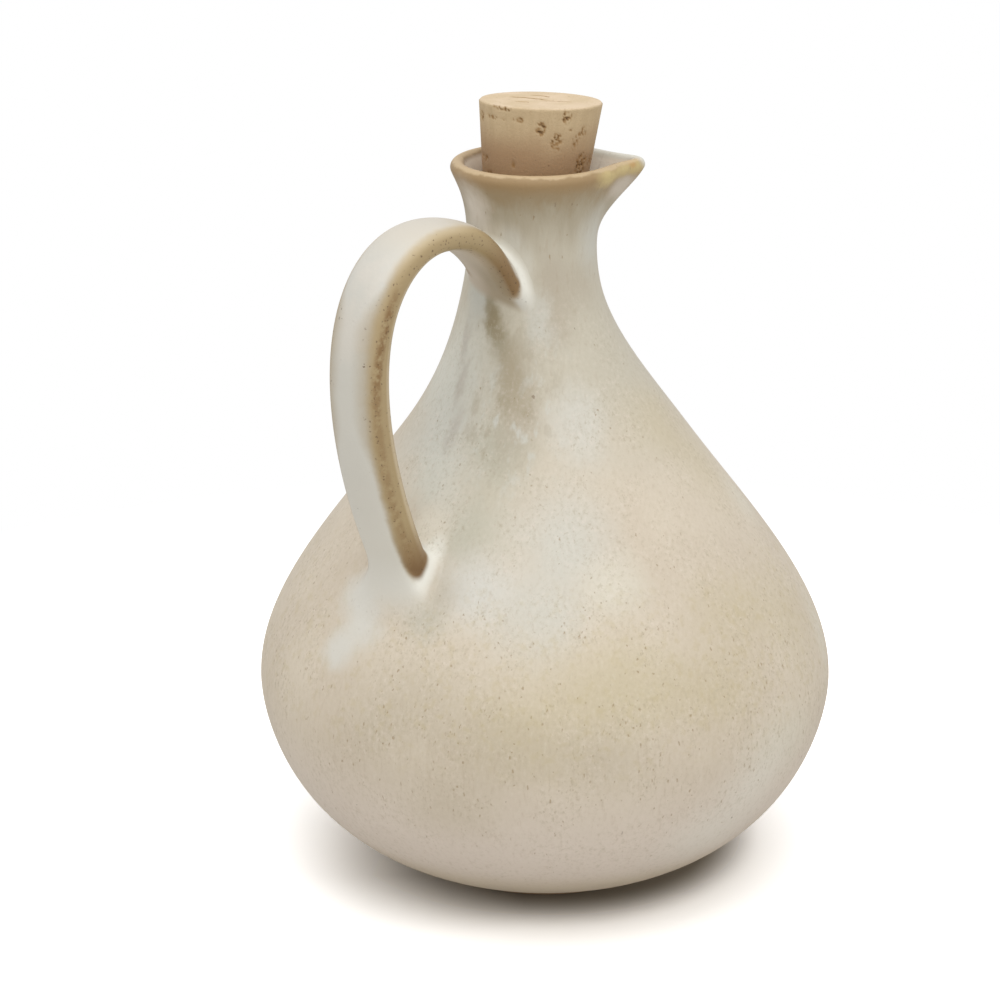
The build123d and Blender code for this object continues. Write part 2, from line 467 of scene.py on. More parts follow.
pinkish_tan, pale_tan = colour(206, 193, 173), colour(212, 200, 180)
ochre, olive_cream = colour(197, 184, 152), colour(192, 189, 171)
blue_white, grey_white = colour(205, 202, 190), colour(213, 211, 198)
thick_white = colour(236, 234, 223)

clouds = noise_at(place, 26.0, 3.0, 0.55)
streaks_wide = noise_at(squeezed(place, 0.12), 3.0, 3.0, 0.6)
tone = lay_over(pinkish_tan, pale_tan, fade(clouds, 0.35, 0.65))
tone = lay_over(tone, colour(221, 209, 197), fade(height, 46.0, 20.0), 0.9)
tone = lay_over(tone, colour(197, 191, 173), fade(pushed_height, 82.0, 112.0), 0.85)


def lay_spots(tone, place, tint, *spots):
    """Lays soft spots of one colour: each is a centre, a reach, a softness of edge and a share."""
    for centre, reach, edge, share in spots:
        mask = use_group(spot, Place=place, Centre=centre, Reach=reach, Edge=edge, Share=share)["Mask"]
        tone = lay_over(tone, tint, mask)
    return tone


tone = lay_spots(
    tone, pushed, ochre,
    ((-30, -47, 57), (26, 20, 13), 1.0, 0.6),
    ((-36, -42, 60), (28, 24, 15), 1.0, 0.45),
    ((-48, -34, 50), (20, 19, 13), 1.0, 0.65),
    ((-14, -56, 54), (20, 16, 12), 1.0, 0.6),
    ((0, -50, 66), (20, 16, 15), 1.0, 0.5),
    ((16, -50, 61), (16, 16, 18), 1.0, 0.45),
    ((14, -30, 90), (16, 16, 20), 1.0, 0.45),
    ((5, -25, 100), (13, 13, 15), 1.0, 0.5),
    ((44, 22, 62), (22, 22, 16), 1.0, 0.7),
    ((20, 46, 52), (24, 16, 12), 1.0, 0.6),
    ((-12, 42, 76), (15, 15, 18), 1.0, 0.5),
)
tone = lay_spots(
    tone, pushed, olive_cream,
    ((-36, -11, 85), (13, 13, 16), 0.9, 0.9),
    ((-25, -10, 97), (10, 10, 17), 0.9, 0.9),
    ((34, 10, 84), (10, 16, 14), 0.9, 0.8),
)
# The first spot, on the belly's front, is partly a painted sheen as well as blue white glaze
tone = lay_spots(
    tone, pushed, blue_white,
    ((-28, -27, 82), (17, 17, 21), 0.9, 0.9),
    ((-38, -28, 71), (15, 15, 13), 0.9, 0.8),
    ((24, 24, 88), (12, 12, 18), 0.9, 0.7),
)
tone = lay_spots(
    tone, pushed, colour(212, 211, 203),
    ((-42, -16, 75), (12, 12, 12), 0.9, 0.8),
    ((-13, -20, 101), (10, 9, 16), 0.9, 0.6),
)
# The first is a painted sheen over paler cream glaze on the belly's front; the other three are painted
# reflections of the bright room down the belly's right side
tone = lay_spots(
    tone, pushed, colour(216, 210, 193),
    ((-24, -38, 75), (12, 11, 10), 1.0, 0.8),
    ((30, -46, 52), (10, 12, 16), 0.9, 0.6),
    ((24, -34, 80), (10, 12, 10), 1.0, 0.6),
    ((4, -60, 39), (18, 12, 12), 1.0, 0.7),
)
tone = lay_spots(
    tone, pushed, grey_white,
    ((-19, 10, 111), (10, 14, 18), 0.8, 0.95),
    ((-32, 2, 91), (9, 12, 15), 0.8, 0.9),
    ((2, 22, 104), (10, 10, 16), 0.9, 0.45),
)
tone = lay_spots(tone, pushed, colour(205, 206, 197), ((-26, 6, 101), (14, 20, 27), 1.0, 0.8))
# A painted shade on the shoulder just below the strap's foot
tone = lay_spots(tone, nudged, colour(194, 188, 171), ((-48, -10, 68), (8, 7, 7), 0.9, 0.9))
tone = lay_spots(
    tone, pushed, colour(196, 184, 162),
    ((-53, -18, 56), (20, 20, 14), 1.0, 0.65),
    ((-55, -22, 34), (18, 18, 12), 1.0, 0.55),
)
tone = lay_spots(
    tone, pushed, colour(186, 174, 152),
    ((-58, -8, 49), (20, 20, 14), 1.0, 0.5),
    ((-51, -29, 46), (20, 20, 12), 1.0, 0.5),
    ((-38, -45, 47), (18, 18, 11), 1.0, 0.5),
)
# The first two spots are a painted highlight low on the belly, right of its front
tone = lay_spots(
    tone, pushed, colour(226, 222, 211),
    ((-4, -57, 32), (18, 14, 14), 1.0, 0.6),
    ((-12, -52, 22), (18, 14, 12), 1.0, 0.6),
    ((-36, -5, 86), (9, 10, 9), 1.0, 0.4),
)
tone = lay_spots(
    tone, nudged, colour(172, 161, 140),
    ((-18.5, -8.5, 108), (8, 7.5, 15), 1.0, 0.5),
    ((-23, -11, 98), (9, 8, 13), 1.0, 0.5),
)
tone = lay_spots(
    tone, nudged, colour(186, 176, 157),
    ((-4, -11, 127), (9, 6, 9), 1.0, 0.7),
    ((-9.5, -9.4, 128), (5.5, 5, 12), 1.0, 1.0),
    ((-10.5, -10.5, 120.5), (5, 5, 8), 1.0, 0.65),
    ((-21, -11, 103), (7, 6, 12), 1.0, 0.7),
    ((-10, -12, 121), (7, 5, 10), 1.0, 0.7),
)
tone = lay_spots(
    tone, nudged, colour(178, 170, 158),
    ((-18.2, 6.0, 115.5), (5, 1.9, 9), 0.9, 0.55),
    ((-21.4, 4.2, 107.5), (5, 1.9, 9), 0.9, 0.6),
    ((-26, 2.2, 98.5), (6, 2.1, 9), 0.9, 0.5),
)
# The glaze has run down the shoulder below the strap in brown and blue-white streaks
runs = use_group(spot, Place=pushed, Centre=(-20, -9, 103), Reach=(18, 17, 30), Edge=0.9, Share=1.0)["Mask"]
tone = lay_over(tone, colour(168, 157, 134), times(fade(streaks_wide, 0.52, 0.66), runs), 0.55)
tone = lay_over(tone, colour(207, 208, 200), times(fade(streaks_wide, 0.48, 0.34), runs), 0.7)
# Iron has run down from under the strap's upper join, with thick glaze to both sides
tone = lay_spots(tone, nudged, colour(199, 199, 189), ((-17, 4.5, 124), (6, 6, 8), 0.8, 0.9))
tone = lay_spots(tone, nudged, colour(203, 200, 188), ((-12.5, -8.5, 121), (4, 3.6, 10), 0.8, 0.9))
tone = lay_spots(
    tone, nudged, colour(142, 128, 94),
    ((-15.7, 0.9, 128.2), (2.4, 2.0, 3.4), 0.8, 0.55),
    ((-16.1, 1.0, 125.0), (3.2, 2.2, 5.0), 0.8, 0.65),
    ((-17.0, 0.0, 121.0), (3.4, 2.5, 5.0), 0.8, 0.85),
    ((-17.5, -1.8, 118.0), (3.4, 3.0, 5.0), 0.9, 0.75),
    ((-18.0, -4.0, 115.0), (3.6, 3.6, 5.2), 1.0, 0.6),
    ((-18.6, -6.2, 111.5), (4.0, 3.8, 5.5), 1.0, 0.5),
    ((-19.6, -8.0, 107.5), (4.4, 4.0, 6.0), 1.0, 0.3),
)
tone = lay_spots(
    tone, nudged, colour(176, 164, 140),
    ((-18, -6, 112), (5, 4, 8), 0.9, 0.8),
    ((-19, -9, 106), (5.5, 4.5, 9), 1.0, 0.7),
)
tone = lay_spots(
    tone, place, colour(214, 211, 199),
    ((-14.5, -2.5, 137.0), (4.2, 4.2, 4.5), 0.7, 0.9),
    ((-12.9, -5.2, 132.0), (2.6, 2.8, 7.0), 0.8, 0.5),
    ((-13.4, -6.6, 125.0), (2.6, 2.2, 6.0), 0.9, 0.6),
)
tone = lay_spots(
    tone, place, colour(226, 219, 203),
    ((-15.5, 1.6, 138.8), (4.5, 4.5, 4), 0.9, 0.9),
    ((-38.2, -2.2, 82.5), (6.5, 6.5, 8), 0.9, 0.95),
)
tone = lay_spots(tone, place, thick_white, ((-40.6, -5.6, 79.6), (3.6, 3.4, 7.4), 0.7, 0.9))

# Round the lip the glaze has run thin and the iron shows
lip_height = rim_height / mm
lip_run = times_plus(math_node("SUBTRACT", streaks_wide, 0.5), 9.0, height)
tone = lay_over(tone, colour(163, 151, 127), fade(lip_run, lip_height - 18.0, lip_height - 6.0), 0.85)
tone = lay_over(tone, colour(158, 138, 106), fade(lip_run, lip_height - 9.0, lip_height - 3.5), 0.9)
uneven_height = times_plus(math_node("SUBTRACT", nudged_height, height), 0.4, height)
tone = lay_over(tone, colour(160, 132, 92), fade(uneven_height, lip_height - 4.6, lip_height - 1.6), 0.9)
tone = lay_spots(tone, nudged, colour(219, 210, 196), ((-17.5, 6, 142), (6, 8, 9), 0.9, 0.95))
# A painted highlight on the neck's front right
tone = lay_spots(tone, nudged, colour(204, 204, 196), ((2, -12, 135.5), (8, 7, 10), 1.0, 0.75))
tone = lay_spots(tone, nudged, colour(206, 196, 182), ((8, -13, 145.0), (6, 6, 4.5), 0.8, 0.85))
tone = lay_spots(
    tone, nudged, colour(202, 182, 128),
    ((1.5, -15.5, 148.6), (6, 4, 3.2), 0.8, 0.95),
    ((8.0, -15.5, 149.2), (6, 4, 3.0), 0.8, 0.9),
    ((12, -15.5, 148.6), (4, 3.5, 2.8), 0.8, 0.9),
)
tone = lay_spots(tone, place, colour(186, 140, 82), ((9.8, -14.2, 149.8), (1.6, 1.5, 1.2), 0.9, 0.6))
tone = lay_over(tone, colour(208, 184, 146), fade(uneven_height, lip_height - 0.7, lip_height - 0.2), 0.7)
tone = lay_spots(
    tone, place, colour(222, 221, 210),
    ((15, -4, 150.4), (6, 13, 3.6), 0.5, 0.95),
    ((14.6, -13.2, 150), (3.4, 3.2, 2.6), 0.8, 0.85),
)

# Down inside, the coat is plain, and painted paler than the glaze outside: painted light that lifts the
# shade in the mouth
well_painted_light = lay_over(colour(242, 238, 226), colour(238, 227, 209), fade(clouds, 0.4, 0.62))
tone = lay_over(tone, well_painted_light, times(entry["Inside"], fade(height, lip_height - 0.4, lip_height - 1.6)))

# Fine streaks down the side, and a fine mottle
streaks = noise_at(streaky, 0.8, 3.0, 0.6)
tone = lay_over(tone, colour(168, 148, 120), fade(streaks, 0.52, 0.8), 0.26)
pale_streaks = times(fade(streaks, 0.46, 0.2), fade(height, 135.0, 110.0))
tone = lay_over(tone, colour(226, 219, 205), pale_streaks, 0.2)
mottle = noise_at(place, 0.9, 3.0, 0.65)
patchy = noise_at(place, 9.0, 2.0)
mottled = times(times_plus(fade(patchy, 0.35, 0.65), 0.18, 0.1), fade(height, 140.0, 112.0))
tone = lay_over(tone, colour(170, 160, 132), times(fade(mottle, 0.5, 0.72), mottled))
tone = lay_over(tone, colour(230, 218, 206), times(fade(mottle, 0.5, 0.28), mottled))
# Yellow crystals in the coat round the belly, and freckles all over the shoulder
belly_band = times(fade(pushed_height, 36.0, 50.0), fade(pushed_height, 82.0, 66.0))
crystals = noise_at(place, 1.9, 3.0, 0.6)
tone = lay_over(tone, colour(186, 170, 122), times(fade(crystals, 0.5, 0.68), belly_band), 0.24)
freckles = noise_at(squeezed(place, 0.55), 0.62, 2.0, 0.6)
freckled = times(fade(patchy, 0.32, 0.62), fade(height, 128.0, 100.0), fade(height, 14.0, 40.0))
tone = lay_over(tone, colour(158, 142, 108), times(fade(freckles, 0.585, 0.68), freckled), 0.3)
# Specks of iron, thicker round the belly
belly_specks = times(fade(height, 20.0, 42.0), fade(height, 80.0, 58.0))
speck_share = times(times_plus(belly_specks, 0.44, 0.08), fade(patchy, 0.2, 0.65))
tall = squeezed(place, 0.5)
fine_specks = use_group(specks, Place=tall, Spacing=0.8, Share=speck_share, Width=0.36)["Mask"]
large_specks = use_group(specks, Place=tall, Spacing=3.6, Share=0.15, Width=0.11)["Mask"]
tone = lay_over(tone, colour(150, 124, 86), fine_specks, 0.55)
tone = lay_over(tone, colour(112, 88, 60), large_specks, 0.55)
# Painted shade just under the strap's lower join
tone = lay_spots(
    tone, nudged, colour(186, 179, 162),
    ((-45.6, -3.6, 71.5), (5, 6, 4.5), 1.0, 0.65),
    ((-44, -11, 72.5), (7, 7, 6), 1.0, 0.55),
)
# Thick glaze has run from the strap's lower join, over the specks
tone = lay_spots(
    tone, nudged, colour(216, 214, 205),
    ((-47, 4, 71.5), (6.5, 7, 7), 0.9, 0.45),
    ((-48, 7, 69), (6, 9, 8.5), 0.8, 0.8),
    ((-51.5, 4, 64), (6, 8.5, 8), 0.9, 0.8),
    ((-54, 8, 58.8), (5, 6.8, 7), 0.8, 0.8),
)

# Darker towards the heel: painted shade where the belly turns under, and the coat running thin and brown at
# the heel itself
tone = lay_over(tone, colour(206, 192, 170), fade(height, 17.0, 9.0), 0.9)
tone = lay_over(tone, colour(190, 172, 146), fade(height, 9.0, 1.5), 0.85)

# The turned foot was wiped clean, so bare buff clay shows there
ring_reach = vector_node("LENGTH", squeezed(place, 0.0))
bare = times(fade(height, 1.5, 0.9), fade(ring_reach, 21.0, 21.6))
tone = lay_over(tone, colour(150, 122, 92), bare)
coat.links.new(tone, leave["Colour"])

satin = times_plus(streaks, 0.1, times_plus(clouds, 0.16, 0.38))
satin = times_plus(bare, 0.35, satin)
coat.links.new(satin, leave["Roughness"])
orange_peel = noise_at(place, 0.8, 2.0)
swell = noise_at(place, 13.0, 1.0)
skin = times_plus(swell, 0.35 * mm, times(orange_peel, 0.045 * mm))
skin = times_plus(fine_specks, -0.04 * mm, skin)
coat.links.new(skin, leave["Height"])


def finish_material(tone, roughness, height, gloss):
    """The shader on top: its colour and roughness, and its skin's height in metres."""
    tree = tone.id_data
    skin = add_node(tree, "Bump", {"Height": height, "Strength": 1.0, "Distance": 1.0}).outputs[0]
    inputs = {"Base Color": tone, "Roughness": roughness, "Normal": skin, "IOR": gloss}
    surface = add_node(tree, "BsdfPrincipled", inputs)
    add_node(tree, "OutputMaterial", {"Surface": surface.outputs[0]})


def mark_on(tree, name):
    """A number that mark_rings gave the mesh."""
    return add_node(tree, "Attribute", attribute_name=name).outputs["Fac"]


pot_glaze, tree = new_material("speckled satin glaze")
coat_here = use_group(coat, Object=object_place(tree), Inside=mark_on(tree, "inside"))
glaze_gloss = 1.5
finish_material(coat_here["Colour"], coat_here["Roughness"], coat_here["Height"], glaze_gloss)
pot.data.materials.append(pot_glaze)
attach(pot, "cruet")
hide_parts("stoneware_body")

# ---- Strap handle ----
# A strap of clay pulled by hand to a flattened oval, luted to the neck at its top
# and pressed on to the shoulder at its foot, with the joins smoothed over. Its edges
# shed the glaze and show brown, and white glaze has pooled round both its ends.
strap_widths = (14.2 * mm, 12.6 * mm, 12.6 * mm)
strap_thicknesses = (5.0 * mm, 8.0 * mm, 7.3 * mm)
strap_squareness = (2.3, 2.4, 3.0)  # 2 is an oval, and more is squarer
upper_root_height, lower_root_height = 130.6 * mm, 72.8 * mm
root_depth = 2.9 * mm
# The middle line's controls, as reach out from the cruet's middle and height
crown_pull = Vector((23.1, 22.0)) * mm
outside_control = Vector((71.0, 144.0)) * mm
lower_root_pull = Vector((13.3, 25.9)) * mm
droop, droop_share = 7.4 * mm, 0.17  # the strap's last stretch bends down on to the neck
sidestep, sidestep_share = 2.0 * mm, 0.25  # and it meets the neck in line with its middle
droop_tilt = 0.35  # that bend is flatter on the strap's +Y edge
hollow, hollow_share, hollow_spread = 0.26, 0.27, 0.11  # its inner face is flatter by the crown
# The joins' widths and fullness, each over the outer face, the edges and the inner face
upper_join_sizes, upper_join_fullness = (4.2 * mm, 4.0 * mm, 2.6 * mm), (0.1, 0.35, 0.0)
lower_join_sizes, lower_join_fullness = (11.0 * mm, 3.2 * mm, 3.6 * mm), (0.0, 0.35, 0.1)
join_skin, join_root = 0.02 * mm, 1.6 * mm  # how far a join's edge and its end are sunk in the pot
strap_spokes, strap_rings, join_rings = 64, 90, 12
slope_step = 0.5 * mm  # over which the pot's slope is taken


def wall_radius(height):
    """The pot's outside radius at a height, before the spout."""
    for below, above in zip(outside + lip[:1], outside[1:] + lip[:1]):
        if below.y <= height <= above.y:
            return below.x + (above.x - below.x) * (height - below.y) / (above.y - below.y)
    return lip_middle[0]


def wall_slope(height):
    """How fast the pot's radius grows with its height."""
    return (wall_radius(height + slope_step) - wall_radius(height - slope_step)) / (2 * slope_step)


upper_reach = wall_radius(upper_root_height) - neck_centre(upper_root_height).x - root_depth
upper_root = Vector((upper_reach, upper_root_height))
lower_root = Vector((wall_radius(lower_root_height) - root_depth, lower_root_height))
strap_controls = (
    upper_root, upper_root + crown_pull, outside_control, lower_root + lower_root_pull, lower_root,
)


def strap_line(share):
    """The strap's middle line as (reach, height), and its direction, past its ends too."""
    held = min(max(share, 0.0), 1.0)
    place, along = Vector((0, 0)), Vector((0, 0))
    for index, control in enumerate(strap_controls):
        place += math.comb(4, index) * held**index * (1 - held) ** (4 - index) * control
    for index in range(4):
        step = strap_controls[index + 1] - strap_controls[index]
        along += 4 * math.comb(3, index) * held**index * (1 - held) ** (3 - index) * step
    slack = max(1 - held / droop_share, 0.0)
    place.y -= droop * slack**2
    along.y += 2 * droop * slack / droop_share
    return place + (share - held) * along, along.normalized()


def along_strap(sizes, share):
    """A size that has the three given values at the strap's ends and middle."""
    upper, middle, lower = sizes
    share = min(max(share, 0.0), 1.0)
    rest = 1 - share
    return upper * rest * (1 - 2 * share) + middle * 4 * share * rest + lower * share * (2 * share - 1)


def strap_section(share, turn):
    """Where a turn falls across the strap and through it, both from -1 to 1."""
    power = 2 / along_strap(strap_squareness, share)
    across = math.copysign(abs(math.cos(turn)) ** power, math.cos(turn))
    return across, math.copysign(abs(math.sin(turn)) ** power, math.sin(turn))


def strap_point(share, turn):
    """A point on the strap: turn is 0 on its +Y edge and a quarter turn on its outer face."""
    across, through = strap_section(share, turn)
    (reach, height), along = strap_line(share)
    slack = max(1 - max(share, 0.0) / droop_share, 0.0)
    height += droop * slack**2 * droop_tilt * (1 + across)
    side = across * along_strap(strap_widths, share) / 2
    side += sidestep * max(1 - max(share, 0.0) / sidestep_share, 0.0) ** 2
    out = through * along_strap(strap_thicknesses, share) / 2
    if through < 0:
        out *= 1 - hollow * math.exp(-(((share - hollow_share) / hollow_spread) ** 2))
    # The middle line runs down the outside of the loop, so its normal points out of the loop
    return Vector((out * along.y - reach, side, height + out * along.x))


def off_wall(point):
    """How far a point stands off the pot's outside, below the spout."""
    middle = neck_centre(point.z)
    flat = math.hypot(point.x - middle.x, point.y - middle.y)
    return (flat - wall_radius(point.z)) / math.hypot(1, wall_slope(point.z))


def on_wall(point, sunk):
    """The nearest point of the pot's outside, sunk below it."""
    place = Vector(point)
    for _ in range(4):
        middle = neck_centre(place.z)
        out = Vector((place.x - middle.x, place.y - middle.y, 0)).normalized()
        normal = Vector((out.x, out.y, -wall_slope(place.z))).normalized()
        place -= normal * (off_wall(place) + sunk)
    return place


def wall_crossing(turn, inside_share, outside_share):
    """The share at which one of the strap's lines comes out of the pot, found by halving."""
    for _ in range(30):
        middle = (inside_share + outside_share) / 2
        if off_wall(strap_point(middle, turn)) < 0:
            inside_share = middle
        else:
            outside_share = middle
    return outside_share


def join(turn, crossing, away, size, centre, fullness):
    """A smoothed join from the strap to the pot, as points from the strap outwards."""
    corner = strap_point(crossing, turn)
    step = 0.01  # of the strap's length
    speed = (strap_point(crossing + away * step, turn) - corner).length / step
    start = crossing + away * size / speed
    end = on_wall(corner + (corner - centre).normalized() * size, join_skin)
    control = corner.lerp((strap_point(start, turn) + end) / 2, fullness)
    points = []
    for index in range(join_rings + 1):
        t = index / join_rings
        points.append(strap_point(start, turn) * (1 - t) ** 2 + 2 * t * (1 - t) * control + t * t * end)
    points.append(on_wall(corner, join_root))
    return start, points


def by_side(turn, sizes):
    """A value from those for the outer face, the edges and the inner face."""
    face, edge, back = sizes
    up = math.sin(turn)
    return edge + (face - edge) * max(up, 0) ** 2 + (back - edge) * max(-up, 0) ** 2


def middle_of(crossings):
    """The middle of the line where the strap comes out of the pot."""
    return sum((strap_point(share, turn) for share, turn in zip(crossings, turns)), Vector()) / strap_spokes


def join_end(crossings, away, sizes, fullness):
    """All the joins at one end: where each starts on the strap, and its points."""
    centre = middle_of(crossings)
    joins = [
        join(turn, crossing, away, by_side(turn, sizes), centre, by_side(turn, fullness))
        for turn, crossing in zip(turns, crossings)
    ]
    return zip(*joins)


turns = [2 * math.pi * spoke / strap_spokes for spoke in range(strap_spokes)]
upper_crossings = [wall_crossing(turn, -0.1, 0.3) for turn in turns]
lower_crossings = [wall_crossing(turn, 1.1, 0.7) for turn in turns]
starts, upper_joins = join_end(upper_crossings, 1, upper_join_sizes, upper_join_fullness)
ends, lower_joins = join_end(lower_crossings, -1, lower_join_sizes, lower_join_fullness)

rings = [[points[index] for points in upper_joins] for index in range(join_rings + 1, 0, -1)]
for index in range(strap_rings + 1):
    t = index / strap_rings
    rings.append([
        strap_point(start + (end - start) * t, turn) for start, end, turn in zip(starts, ends, turns)
    ])
rings += [[points[index] for points in lower_joins] for index in range(1, join_rings + 2)]
poles = [on_wall(middle_of(crossings), join_root) for crossings in (upper_crossings, lower_crossings)]
strap = raise_rings("strap_handle_glazed", rings, *poles)


def strap_share(ring, spoke):
    """How far down the strap a ring is, from 0 to 1."""
    t = min(max((ring - join_rings - 1) / strap_rings, 0.0), 1.0)
    return starts[spoke] + (ends[spoke] - starts[spoke]) * t


def join_share(ring, spoke):
    """0 on the strap itself, rising to 1 where a join meets the pot."""
    past = max(join_rings + 1 - ring, ring - join_rings - 1 - strap_rings, 0)
    return min(past / join_rings, 1.0)


mark_rings(strap, "down", strap_share)
mark_rings(strap, "join", join_share)
for side, name in enumerate(("across", "through")):
    mark_rings(strap, name, lambda ring, spoke: strap_section(strap_share(ring, spoke), turns[spoke])[side])
bpy.ops.object.shade_smooth_by_angle(angle=math.radians(40))

strap_glaze, tree = new_material("glaze on the strap")
place = use_group(ragged, Object=object_place(tree))["Place"]
down, join_mark, across, through = (mark_on(tree, name) for name in ("down", "join", "across", "through"))
clouds = noise_at(place, 9.0, 3.0, 0.6)
crumbs = noise_at(place, 1.6, 3.0, 0.65)
tone = lay_over(colour(203, 200, 190), colour(208, 203, 192), fade(clouds, 0.4, 0.6))
crown = times(fade(down, 0.42, 0.3), fade(through, 0.2, 0.9))
tone = lay_over(tone, colour(208, 201, 187), crown)
tone = lay_over(tone, colour(211, 208, 198), fade(down, 0.55, 0.75), 0.8)
# Whiter towards the foot: thick white glaze, and painted light that evens out the shade in the lower join's
# hollow
tone = lay_over(tone, colour(222, 219, 208), fade(down, 0.78, 0.92), 0.55)
# How near the strap's edge: 1 on the edge itself
near_edge = math_node("ABSOLUTE", across)
near_edge = times_plus(fade(down, 0.26, 0.1), 0.24, near_edge)
near_edge = times_plus(math_node("SUBTRACT", clouds, 0.5), 0.3, near_edge)
near_edge = times_plus(math_node("SUBTRACT", crumbs, 0.5), 0.08, near_edge)
# Wear spreads in from the edge half way down
on_strap = fade(join_mark, 0.45, 0.15)
wear_start = times_plus(times(fade(down, 0.42, 0.54), fade(down, 0.8, 0.68)), -0.6, 0.7)
broad_wear = times(fade(near_edge, wear_start, 0.95), on_strap, 0.8)
tone = lay_over(tone, colour(171, 155, 126), broad_wear)
round_edge = times_plus(times(through, through), -0.45, near_edge)
edge_wear = times(fade(round_edge, 0.3, 0.84), on_strap)
tone = lay_over(tone, colour(170, 147, 104), edge_wear, 0.85)
# A painted highlight, warm ochre, along the outer face's edge by the crown
ochre_arris_highlight = times(
    fade(near_edge, 0.55, 0.85), fade(through, 0.25, 0.65), fade(down, 0.12, 0.22), fade(down, 0.46, 0.34)
)
tone = lay_over(tone, colour(205, 187, 152), ochre_arris_highlight, 0.55)
# A crumbly dark line of iron down the edge's outer corner, and a light one on its inner
line_place = times_plus(fade(down, 0.5, 0.68), -0.18, through)
off_line = math_node("ABSOLUTE", math_node("ADD", line_place, -0.2))
line = times(fade(off_line, 0.36, 0.05), fade(near_edge, 0.74, 0.9), fade(down, 0.4, 0.5))
line = times(line, fade(crumbs, 0.3, 0.6), times_plus(fade(down, 0.72, 0.6), 0.5, 0.5))
tone = lay_over(tone, colour(130, 97, 54), line, 0.85)
grit_share = times_plus(line, 0.8, -0.05)
grit = use_group(specks, Place=place, Spacing=0.62, Share=grit_share, Width=0.5)["Mask"]
tone = lay_over(tone, colour(98, 72, 42), grit, 0.65)
off_line = math_node("ABSOLUTE", math_node("ADD", through, 0.45))
line = times(fade(off_line, 0.3, 0.08), fade(near_edge, 0.8, 0.95), fade(down, 0.22, 0.34))
tone = lay_over(tone, colour(206, 190, 160), line, 0.7)
# The tips of the strap are the brownest, but for thick glaze over the upper one
upper_tip = times(fade(down, 0.16, 0.05), fade(near_edge, 0.7, 0.98))
lower_tip = times(fade(down, 0.86, 0.96), fade(near_edge, 0.72, 0.92))
tips = times(math_node("MAXIMUM", upper_tip, lower_tip), on_strap)
tone = lay_over(tone, colour(130, 99, 60), tips, 0.85)
very_tip = times(fade(down, 0.92, 0.99), lower_tip)
tone = lay_over(tone, colour(92, 60, 26), very_tip, 0.75)
over_tip = times(fade(down, 0.09, 0.03), fade(through, 0.15, 0.6))
tone = lay_over(tone, thick_white, over_tip, 0.85)
# Painted shade for a crease where the strap's far side was pressed down
crease_painted_shade = times(fade(across, 0.6, 0.85), fade(down, 0.6, 0.8))
crease_painted_shade = times(crease_painted_shade, fade(join_mark, 0.02, 0.16), fade(join_mark, 0.46, 0.26))
tone = lay_over(tone, colour(146, 138, 126), crease_painted_shade, 0.7)
# The inner face is a thin pinkish tan with painted shade under the strap, and darker at its upper tip
inner_tan_and_shade = times(fade(through, -0.5, -0.85), fade(down, 0.35, 0.15))
tone = lay_over(tone, colour(188, 172, 150), inner_tan_and_shade, 0.8)
inner_tip = times(fade(down, 0.11, 0.04), fade(across, 0.3, -0.3), fade(through, -0.5, -0.8))
tone = lay_over(tone, colour(150, 134, 104), inner_tip, 0.6)
crown_specks = times(fade(down, 0.36, 0.26), fade(near_edge, 0.8, 1.0))
speck_share = times_plus(crown_specks, 0.45, times_plus(broad_wear, 0.5, 0.005))
edge_specks = use_group(specks, Place=place, Spacing=0.7, Share=speck_share, Width=0.38)["Mask"]
tone = lay_over(tone, colour(96, 72, 46), edge_specks, 0.7)
# Glaze has pooled on the joins, thick and white, and runs into the pot's own coat
above = fade(down, 0.6, 0.4)
upper_pool = times(fade(through, -0.7, 0.4), above)
lower_pool = times(fade(across, -0.4, -0.7), fade(through, 0.95, 0.6), fade(down, 0.4, 0.6))
lower_pool = times(lower_pool, fade(join_mark, 0.95, 0.65))
pool = times(fade(join_mark, 0.12, 0.4), math_node("MAXIMUM", upper_pool, lower_pool))
tone = lay_over(tone, thick_white, pool, 0.95)
coat_here = use_group(coat, Object=object_place(tree), Inside=0.0)
into_coat = fade(times_plus(above, -0.1, join_mark), 0.4, 0.9)
tone = lay_over(tone, coat_here["Colour"], into_coat)
satin = times_plus(broad_wear, 0.12, 0.42)
skin = times_plus(edge_specks, -0.05 * mm, coat_here["Height"])
finish_material(tone, satin, skin, glaze_gloss)
strap.data.materials.append(strap_glaze)
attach(strap, "cruet")
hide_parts("strap_handle")

# ---- Cork ----
# A plain tapered stopper cut from cork bark, with its top cut a little askew. The
# bark's pores show as crumbly pits and short dark streaks.
cork_axis = Vector(frame["joints"][0]["axis"]).normalized()
cork_length, cork_taper = 32 * mm, 0.117
seat_height, seat_radius = 138.6 * mm, 9.606 * mm
cork_top = 23.75 * mm  # above the seat, along the cork
askew = Vector((0.024, -0.041))  # the top's slope
askew_depth = 16 * mm
cork_edge = 0.35 * mm
pit_depth, streak_depth = 0.45 * mm, 0.35 * mm
cork_spokes, side_levels, top_rings = 200, 88, 40
cork_sidestep = Vector((-0.08, 0.09, 0)) * mm  # it sits a hair off the neck's middle
seat_middle = Vector((*neck_centre(seat_height), seat_height)) + cork_sidestep
turn_to_axis = Vector((0, 0, 1)).rotation_difference(cork_axis)

